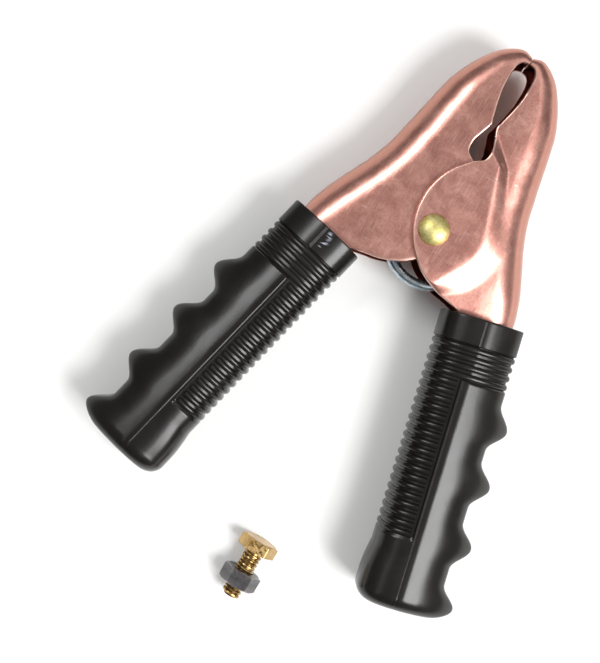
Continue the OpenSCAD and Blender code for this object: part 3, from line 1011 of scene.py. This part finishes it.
def hexBody(name, height, chamferBack, bore, material):
    # axis along -Y from the origin, a flat facing down; a cone trims the corners
    sides = screw["sides"]
    inscribed = screw["across"] / 2
    start = inscribed - screw["chamfer"]
    mouth = screw["mouth"] if bore > 0.5 else 0.0
    rings, corner = [], []

    def add(radius, depth, value):
        angles = [360 * i / sides for i in range(sides)]
        rings.append([(radius(a) * cosDeg(a), -depth(a), radius(a) * sinDeg(a)) for a in angles])
        corner.append(value)

    def trim(a):
        return max(0.0, (hexRadius(a) - start) * screw["slope"])

    def fixed(value):
        return lambda a: value

    chamfer = [(fixed(start), fixed(0.0), 0.3),
               (lambda a: start + 0.5 * (hexRadius(a) - start), lambda a: 0.5 * trim(a), 0.6),
               (hexRadius, trim, 1.0), (hexRadius, lambda a: trim(a) + screw["soft"], 0.2)]
    plain = [(fixed(inscribed), fixed(0.0), 0.2), (hexRadius, fixed(0.0), 0.6),
             (hexRadius, fixed(screw["edge"]), 0.2)]
    add(fixed(bore + mouth), fixed(0.0), 0.0)
    for row in chamfer:
        add(*row)
    add(hexRadius, fixed(height / 2), 0.0)
    for radius, depth, value in reversed(chamfer if chamferBack else plain):
        add(radius, lambda a: height - depth(a), value)
    add(fixed(bore + mouth), fixed(height), 0.0)
    if mouth:
        add(fixed(bore), fixed(height - mouth), 0.0)
        add(fixed(bore), fixed(mouth), 0.0)
    points, faces = loftRings(rings, not mouth, not mouth)
    if mouth:
        last = (len(rings) - 1) * sides
        for i in range(sides):
            j = (i + 1) % sides
            faces.append((last + i, i, j, last + j))
    at = screw["at"]
    points = [(x + at[0], y + at[1], z + at[2]) for x, y, z in points]
    piece = newPiece(name, points, faces, True, {"corner": [v for v in corner for i in range(sides)]})
    faceOutwards(piece)
    piece.data.materials.append(material)
    return sharpenEdges(piece, 24)


def makeScrew():
    head = hexBody("screwHead", screw["head"], False, 0.02, boltBrass)
    at = screw["at"]
    core = screw["thread"] / 2 - screw["coreDepth"]
    start, end = screw["head"] - 0.2, screw["head"] + screw["length"]
    profile = [(core, start), (core, end - 1.3), (core - 0.25, end - 0.2), (core - 0.9, end), (0.03, end)]
    rings = [[(at[0] + x, at[1] - d, at[2] + z) for x, z in roundRing(r, 48)] for r, d in profile]
    points, faces = loftRings(rings)
    shank = pointOutwards(newPiece("screwShank", points, faces, True))
    shank.data.materials.append(boltBrass)
    # the thread grows along +Z, then is laid along the screw
    ridge = linePiece("screwRidge", [(0, 0, 0), (0, 0, 1)])
    run = screw["length"] - 1.0
    growWith(ridge, threadTree, {"Turns": run / screw["pitch"], "Length": run * mm,
                                 "Ridge Radius": (screw["thread"] / 2 - screw["ridge"]) * mm,
                                 "Ridge Size": screw["ridge"] * mm, "Finish": boltBrass})
    ridge.data.transform(Matrix.Translation(Vector((at[0], at[1] - screw["head"] - 0.45, at[2])) * mm)
                         @ Matrix.Rotation(math.radians(90), 4, "X"))
    pointOutwards(ridge)
    piece = joinPieces("terminalScrew", [head, shank, ridge])
    rough, threadShade = [], []
    top = at[2] + screw["across"] / 2
    for vertex in piece.data.vertices:
        x, y, z = vertex.co / mm
        onHead = y > at[1] - screw["head"] - 0.01
        rough.append(1.0 if onHead and z > top - 0.4 and abs(x - at[0]) < 3.1 and y < at[1] - 0.3 else 0.0)
        radius = math.hypot(x - at[0], z - at[2])
        # painted shade share: darker between the thread's ridges, deepest at the core
        threadShade.append(0.0 if onHead else clampUnit((screw["thread"] / 2 - 0.25 - radius) / 0.5) * 0.75)
    setValues(piece.data, "rough", rough)
    setValues(piece.data, "threadShade", threadShade)
    shadeSmooth(piece.data)
    return sharpenEdges(piece, 24)


def makeNut():
    piece = hexBody("terminalNut", screw["nut"], True, screw["thread"] / 2 + screw["clear"], nutSteel)
    piece.data.transform(Matrix.Translation(Vector((0, -(screw["head"] + screw["nutRun"]), 0)) * mm))
    return piece


terminalScrew = makeScrew()
terminalNut = makeNut()
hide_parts("terminal_bolt")
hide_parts("terminal_nut")
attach(terminalScrew, "terminal_bolt")
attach(terminalNut, "terminal_nut")
print("screw and nut ready")

# floor, light and camera

stage = {"floorAt": -13.32, "floorSize": 4000, "low": 0.14, "overhead": 0.09, "strips": 0.85,
         "stripNear": (0.045, 0.10), "stripFar": (0.16, 0.27), "stripUp": (0.60, 0.85), "roomUp": (0.60, 0.97),
         "aim": (0.0, -0.03, 0.0)}
lights = [
    # name, azimuth, elevation, distance, width, height, power
    ("keyLight", -12, 47, 0.95, 0.50, 0.54, 12.2),
    ("fillLight", 160, 52, 1.0, 0.54, 0.30, 4.3),
    ("rearLight", 80, 50, 1.1, 0.5, 0.3, 0.5),
]
camera = {"aim": (-19.4, -47.6), "distance": 435.0, "turn": 59.68, "leanRight": -0.75, "leanUp": 1.25,
          "lens": 83.1285, "sensor": 36}


def makeFloor():
    half = stage["floorSize"] / 2
    points = [(x * half, y * half, stage["floorAt"]) for x, y in ((-1, -1), (1, -1), (1, 1), (-1, 1))]
    floor = newPiece("paleFloor", points, [(0, 1, 2, 3)], False)
    finish = Finish("paleTable", {"Base Color": solid(0.93, 0.93, 0.92), "Roughness": 0.85,
                                  "Specular IOR Level": 0.1})
    floor.data.materials.append(finish.material)


def makeLights():
    for name, azimuth, elevation, distance, width, height, power in lights:
        data = bpy.data.lights.new(name, "AREA")
        data.shape = "RECTANGLE"
        data.size, data.size_y, data.energy = width, height, power
        lamp = addObject(name, data)
        flat = distance * cosDeg(elevation)
        lamp.location = (flat * cosDeg(azimuth), flat * sinDeg(azimuth), distance * sinDeg(elevation))
        aim = Vector(stage["aim"]) - lamp.location
        lamp.rotation_euler = aim.to_track_quat("-Z", "Y").to_euler()
    world = bpy.data.worlds.new("studio")
    bpy.context.scene.world = world
    world.use_nodes = True
    tree = world.node_tree
    start = ShaderValue(tree)
    view = start.node("ShaderNodeTexCoord", output="Generated")
    # a dim room with two long bright strips overhead, one on each side of the lens
    sideways = start.node("ShaderNodeSeparateXYZ", {}, {0: view})
    height = start.node("ShaderNodeSeparateXYZ", {}, {0: view}, output=2)
    square = sideways * sideways
    strips = square.above(*stage["stripNear"]) * (1.0 - square.above(*stage["stripFar"]))
    strips = strips * height.above(*stage["stripUp"])
    level = stage["low"] + stage["overhead"] * height.above(*stage["roomUp"]) + stage["strips"] * strips
    tree.links.new(level.socket, tree.nodes["Background"].inputs["Strength"])
    tree.nodes["Background"].inputs["Color"].default_value = solid(1.0, 1.0, 1.0)


def makeCamera():
    turn = camera["turn"]
    right = Vector((sinDeg(turn), cosDeg(turn), 0))
    up = Vector((-cosDeg(turn), sinDeg(turn), 0))
    back = Vector((0, 0, 1)) + math.tan(math.radians(camera["leanRight"])) * right
    back = (back + math.tan(math.radians(camera["leanUp"])) * up).normalized()
    right = (right - back * back.dot(right)).normalized()
    up = back.cross(right)
    data = bpy.data.cameras.new("viewFromAbove")
    data.sensor_fit, data.sensor_width = "HORIZONTAL", camera["sensor"]
    data.lens = camera["lens"]
    data.clip_start, data.clip_end = 0.01, 20
    eye = addObject("viewFromAbove", data)
    spot = Vector((camera["aim"][0], camera["aim"][1], 0)) * mm + back * camera["distance"] * mm
    eye.matrix_world = Matrix((right, up, back)).transposed().to_4x4()
    eye.matrix_world.translation = spot
    bpy.context.scene.camera = eye


makeFloor()
makeLights()
makeCamera()
bpy.context.scene.view_settings.view_transform = "Standard"
print("stage ready")
